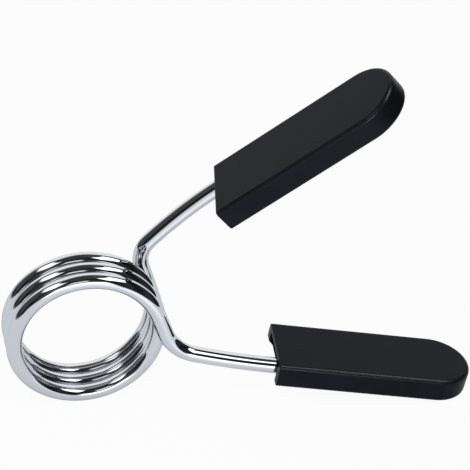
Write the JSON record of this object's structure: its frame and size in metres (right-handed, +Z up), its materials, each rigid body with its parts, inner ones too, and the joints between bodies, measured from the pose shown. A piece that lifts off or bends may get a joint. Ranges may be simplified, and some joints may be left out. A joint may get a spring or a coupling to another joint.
{
  "type": "barbell collar",
  "caption": "Spring clip collar for a 50 mm barbell sleeve: close-wound wire coil with two crossing legs and flat moulded grips that are squeezed together to open it.",
  "frame": {"origin": "middle of the coil, on its axis", "axes": "+Y along the coil's axis towards the end that carries the upper arm, +X from the coil towards the grips, +Z up with the collar standing on its coil and on the lower grip's tip"},
  "size_m": [0.1781, 0.044, 0.1384],
  "materials": {
    "spring_wire": "bright chrome plate on round spring steel wire",
    "grip_plastic": "satin black moulded plastic with a fine even grain"
  },
  "bodies": {
    "coil": {"spring_coil": "spring_wire"},
    "lower_arm": {"lower_arm_wire": "spring_wire", "lower_grip": "grip_plastic"},
    "upper_arm": {"upper_arm_wire": "spring_wire", "upper_grip": "grip_plastic"}
  },
  "joints": [
    {"name": "lower_arm_squeeze", "type": "hinge", "parent": "coil", "child": "lower_arm", "pos_m": [0, 0, 0], "axis": [0, -1, 0], "range_deg": [0, 24.5], "stiffness_Nm_per_rad": 45.7, "deforming": ["spring_coil"]},
    {"name": "upper_arm_squeeze", "type": "hinge", "parent": "coil", "child": "upper_arm", "pos_m": [0, 0, 0], "axis": [0, 1, 0], "range_deg": [0, 24.5], "stiffness_Nm_per_rad": 45.7, "deforming": ["spring_coil"]}
  ],
  "couplings": [
    {"joint": "upper_arm_squeeze", "follows": "lower_arm_squeeze", "ratio": 1}
  ]
}
